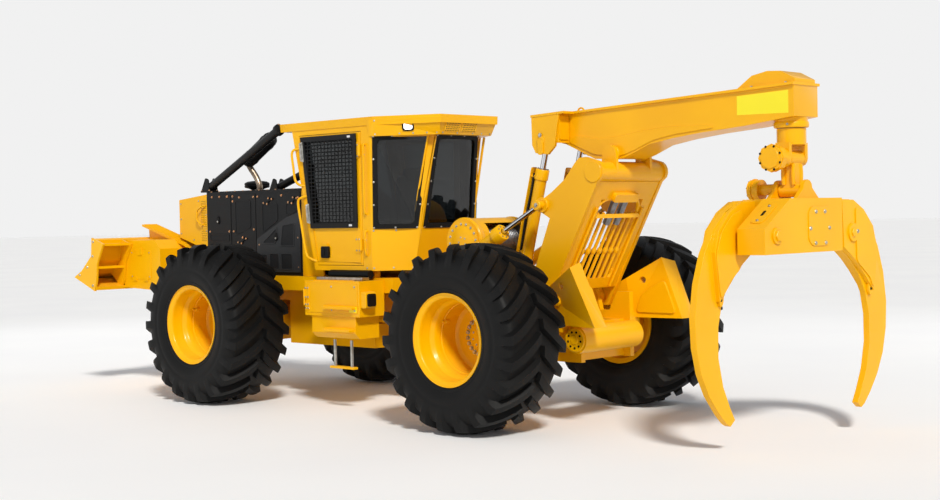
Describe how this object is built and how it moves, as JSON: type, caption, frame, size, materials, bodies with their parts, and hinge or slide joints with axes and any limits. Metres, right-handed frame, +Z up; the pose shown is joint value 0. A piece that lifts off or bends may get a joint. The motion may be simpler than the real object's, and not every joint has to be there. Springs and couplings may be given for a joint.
{
  "type": "grapple skidder",
  "caption": "Full-size grapple skidder: articulated four-wheel forestry tractor with front blade, caged cab, winch, arch, boom and log grapple",
  "frame": {"origin": "centre of the bounding box's base, on the ground the tyres stand on", "axes": "+Y is the machine's rear (grapple end), -Y its front (blade end); +X is its left side; +Z up"},
  "size_m": [3.37, 9.918, 3.3],
  "materials": {
    "yellow_paint": "glossy industrial enamel",
    "black_paint": "satin textured powder coat",
    "tyre_rubber": "matt black rubber",
    "chromed_rod": "ground and chromed",
    "bare_steel": "machined",
    "tinted_glass": "smoked safety glass",
    "seat_vinyl": "grained vinyl",
    "cast_iron": "rough casting"
  },
  "bodies": {
    "front": {"front_frame": "yellow_paint", "front_axle": "yellow_paint", "engine_enclosure": "black_paint", "engine_block": "cast_iron", "grille_housing": "yellow_paint", "front_grille": "black_paint", "riser_left": "black_paint", "riser_right": "black_paint", "exhaust_stack": "black_paint", "air_intake": "black_paint", "cab_shell": "yellow_paint", "windscreen": "tinted_glass", "side_glass_left": "tinted_glass", "side_glass_right": "tinted_glass", "rear_glass": "tinted_glass", "cab_roof": "yellow_paint", "seat": "seat_vinyl", "dash_console": "black_paint", "step_box_left": "yellow_paint", "step_box_right": "yellow_paint"},
    "wheel_front_left": {"tyre_front_left": "tyre_rubber", "rim_front_left": "yellow_paint"},
    "wheel_front_right": {"tyre_front_right": "tyre_rubber", "rim_front_right": "yellow_paint"},
    "wheel_rear_left": {"tyre_rear_left": "tyre_rubber", "rim_rear_left": "yellow_paint"},
    "wheel_rear_right": {"tyre_rear_right": "tyre_rubber", "rim_rear_right": "yellow_paint"},
    "door_left": {"door_left": "yellow_paint", "door_glass_left": "tinted_glass"},
    "door_right": {"door_right": "yellow_paint", "door_glass_right": "tinted_glass"},
    "blade": {"blade": "yellow_paint"},
    "rear": {"rear_frame": "yellow_paint", "rear_axle": "yellow_paint", "winch_case": "yellow_paint"},
    "winch_drum": {"winch_drum": "bare_steel"},
    "arch": {"arch": "yellow_paint"},
    "boom": {"boom": "yellow_paint"},
    "rotator": {"rotator": "yellow_paint"},
    "link": {"swing_link": "yellow_paint"},
    "head": {"grapple_head": "yellow_paint"},
    "tong_left": {"tong_left": "yellow_paint"},
    "tong_right": {"tong_right": "yellow_paint"},
    "steer_left_barrel": {"steer_left_barrel": "yellow_paint"},
    "steer_left_rod": {"steer_left_rod": "chromed_rod"},
    "steer_right_barrel": {"steer_right_barrel": "yellow_paint"},
    "steer_right_rod": {"steer_right_rod": "chromed_rod"},
    "blade_cyl_left_barrel": {"blade_cyl_left_barrel": "yellow_paint"},
    "blade_cyl_left_rod": {"blade_cyl_left_rod": "chromed_rod"},
    "blade_cyl_right_barrel": {"blade_cyl_right_barrel": "yellow_paint"},
    "blade_cyl_right_rod": {"blade_cyl_right_rod": "chromed_rod"},
    "arch_cyl_left_barrel": {"arch_cyl_left_barrel": "yellow_paint"},
    "arch_cyl_left_rod": {"arch_cyl_left_rod": "chromed_rod"},
    "arch_cyl_right_barrel": {"arch_cyl_right_barrel": "yellow_paint"},
    "arch_cyl_right_rod": {"arch_cyl_right_rod": "chromed_rod"},
    "lift_cyl_left_barrel": {"lift_cyl_left_barrel": "yellow_paint"},
    "lift_cyl_left_rod": {"lift_cyl_left_rod": "chromed_rod"},
    "lift_cyl_right_barrel": {"lift_cyl_right_barrel": "yellow_paint"},
    "lift_cyl_right_rod": {"lift_cyl_right_rod": "chromed_rod"}
  },
  "joints": [
    {"name": "steering", "type": "hinge", "parent": "front", "child": "rear", "pos_m": [0, 0.021, 0.905], "axis": [0, 0, 1], "range_deg": [-45, 45]},
    {"name": "wheel_front_left_spin", "type": "hinge", "parent": "front", "child": "wheel_front_left", "pos_m": [1.3, -2.079, 0.905], "axis": [1, 0, 0], "continuous": true},
    {"name": "wheel_rear_left_spin", "type": "hinge", "parent": "rear", "child": "wheel_rear_left", "pos_m": [1.3, 1.971, 0.905], "axis": [1, 0, 0], "continuous": true},
    {"name": "door_left_swing", "type": "hinge", "parent": "front", "child": "door_left", "pos_m": [0.797, -0.114, 1.52], "axis": [0, 0, 1], "range_deg": [0, 90]},
    {"name": "wheel_front_right_spin", "type": "hinge", "parent": "front", "child": "wheel_front_right", "pos_m": [-1.3, -2.079, 0.905], "axis": [1, 0, 0], "continuous": true},
    {"name": "wheel_rear_right_spin", "type": "hinge", "parent": "rear", "child": "wheel_rear_right", "pos_m": [-1.3, 1.971, 0.905], "axis": [1, 0, 0], "continuous": true},
    {"name": "door_right_swing", "type": "hinge", "parent": "front", "child": "door_right", "pos_m": [-0.797, -0.114, 1.52], "axis": [0, 0, -1], "range_deg": [0, 90]},
    {"name": "blade_lift", "type": "hinge", "parent": "front", "child": "blade", "pos_m": [0, -2.749, 1.1], "axis": [1, 0, 0], "range_deg": [0, 36]},
    {"name": "arch_swing", "type": "hinge", "parent": "rear", "child": "arch", "pos_m": [0, 2.091, 1.22], "axis": [1, 0, 0], "range_deg": [-12, 25]},
    {"name": "boom_lift", "type": "hinge", "parent": "arch", "child": "boom", "pos_m": [0, 2.871, 2.64], "axis": [-1, 0, 0], "range_deg": [-12, 20]},
    {"name": "rotator_turn", "type": "hinge", "parent": "boom", "child": "rotator", "pos_m": [0, 4.706, 2.64], "axis": [0, 0, 1], "continuous": true},
    {"name": "link_swing", "type": "hinge", "parent": "rotator", "child": "link", "pos_m": [0, 4.706, 2.52], "axis": [1, 0, 0], "range_deg": [-25, 25]},
    {"name": "head_swing", "type": "hinge", "parent": "link", "child": "head", "pos_m": [0, 4.706, 2.235], "axis": [0, 1, 0], "range_deg": [-20, 20]},
    {"name": "tong_left_swing", "type": "hinge", "parent": "head", "child": "tong_left", "pos_m": [0.676, 4.706, 1.847], "axis": [0, 1, 0], "range_deg": [-5, 42]},
    {"name": "tong_right_swing", "type": "hinge", "parent": "head", "child": "tong_right", "pos_m": [-0.676, 4.706, 1.847], "axis": [0, -1, 0], "range_deg": [-5, 42]},
    {"name": "winch_spin", "type": "hinge", "parent": "rear", "child": "winch_drum", "pos_m": [0, 1.021, 1.8], "axis": [1, 0, 0], "continuous": true},
    {"name": "blade_cyl_left_pivot", "type": "hinge", "parent": "front", "child": "blade_cyl_left_barrel", "pos_m": [0.25, -3.229, 1.95], "axis": [1, 0, 0], "range_deg": [0, 11]},
    {"name": "blade_cyl_left_slide", "type": "slide", "parent": "blade_cyl_left_barrel", "child": "blade_cyl_left_rod", "axis": [0, -0.359, -0.9333], "range_m": [0, 0.48]},
    {"name": "arch_cyl_left_pivot", "type": "hinge", "parent": "rear", "child": "arch_cyl_left_barrel", "pos_m": [0.565, 0.971, 1.5], "axis": [1, 0, 0], "range_deg": [-5, 10]},
    {"name": "arch_cyl_left_slide", "type": "slide", "parent": "arch_cyl_left_barrel", "child": "arch_cyl_left_rod", "axis": [0, 0.884, 0.4675], "range_m": [-0.37, 0.18]},
    {"name": "lift_cyl_left_pivot", "type": "hinge", "parent": "rear", "child": "lift_cyl_left_barrel", "pos_m": [0.27, 1.651, 1.15], "axis": [1, 0, 0], "range_deg": [-12, 24]},
    {"name": "lift_cyl_left_slide", "type": "slide", "parent": "lift_cyl_left_barrel", "child": "lift_cyl_left_rod", "axis": [0, 0.2577, 0.9662], "range_m": [-0.17, 0.28]},
    {"name": "steer_left_pivot", "type": "hinge", "parent": "front", "child": "steer_left_barrel", "pos_m": [0.3, -0.479, 0.95], "axis": [0, 0, 1], "range_deg": [-28, 28]},
    {"name": "steer_left_slide", "type": "slide", "parent": "steer_left_barrel", "child": "steer_left_rod", "axis": [0, 1, 0], "range_m": [-0.33, 0.33]},
    {"name": "blade_cyl_right_pivot", "type": "hinge", "parent": "front", "child": "blade_cyl_right_barrel", "pos_m": [-0.25, -3.229, 1.95], "axis": [1, 0, 0], "range_deg": [0, 11]},
    {"name": "blade_cyl_right_slide", "type": "slide", "parent": "blade_cyl_right_barrel", "child": "blade_cyl_right_rod", "axis": [0, -0.359, -0.9333], "range_m": [0, 0.48]},
    {"name": "arch_cyl_right_pivot", "type": "hinge", "parent": "rear", "child": "arch_cyl_right_barrel", "pos_m": [-0.565, 0.971, 1.5], "axis": [1, 0, 0], "range_deg": [-5, 10]},
    {"name": "arch_cyl_right_slide", "type": "slide", "parent": "arch_cyl_right_barrel", "child": "arch_cyl_right_rod", "axis": [0, 0.884, 0.4675], "range_m": [-0.37, 0.18]},
    {"name": "lift_cyl_right_pivot", "type": "hinge", "parent": "rear", "child": "lift_cyl_right_barrel", "pos_m": [-0.27, 1.651, 1.15], "axis": [1, 0, 0], "range_deg": [-12, 24]},
    {"name": "lift_cyl_right_slide", "type": "slide", "parent": "lift_cyl_right_barrel", "child": "lift_cyl_right_rod", "axis": [0, 0.2577, 0.9662], "range_m": [-0.17, 0.28]},
    {"name": "steer_right_pivot", "type": "hinge", "parent": "front", "child": "steer_right_barrel", "pos_m": [-0.3, -0.479, 0.95], "axis": [0, 0, 1], "range_deg": [-28, 28]},
    {"name": "steer_right_slide", "type": "slide", "parent": "steer_right_barrel", "child": "steer_right_rod", "axis": [0, 1, 0], "range_m": [-0.33, 0.33]}
  ],
  "couplings": [
    {"joint": "tong_right_swing", "follows": "tong_left_swing", "ratio": 1},
    {"joint": "blade_cyl_left_pivot", "follows": "blade_lift", "ratio": 0.28},
    {"joint": "blade_cyl_left_slide", "follows": "blade_lift", "m_per_rad": 0.73},
    {"joint": "arch_cyl_left_pivot", "follows": "arch_swing", "ratio": 0.37},
    {"joint": "arch_cyl_left_slide", "follows": "arch_swing", "m_per_rad": -0.8},
    {"joint": "lift_cyl_left_pivot", "follows": "arch_swing", "ratio": 0.92},
    {"joint": "lift_cyl_left_slide", "follows": "boom_lift", "m_per_rad": 0.78},
    {"joint": "steer_left_pivot", "follows": "steering", "ratio": 0.55},
    {"joint": "steer_left_slide", "follows": "steering", "m_per_rad": 0.3},
    {"joint": "blade_cyl_right_pivot", "follows": "blade_lift", "ratio": 0.28},
    {"joint": "blade_cyl_right_slide", "follows": "blade_lift", "m_per_rad": 0.73},
    {"joint": "arch_cyl_right_pivot", "follows": "arch_swing", "ratio": 0.37},
    {"joint": "arch_cyl_right_slide", "follows": "arch_swing", "m_per_rad": -0.8},
    {"joint": "lift_cyl_right_pivot", "follows": "arch_swing", "ratio": 0.92},
    {"joint": "lift_cyl_right_slide", "follows": "boom_lift", "m_per_rad": 0.78},
    {"joint": "steer_right_pivot", "follows": "steering", "ratio": 0.55},
    {"joint": "steer_right_slide", "follows": "steering", "m_per_rad": -0.3}
  ]
}
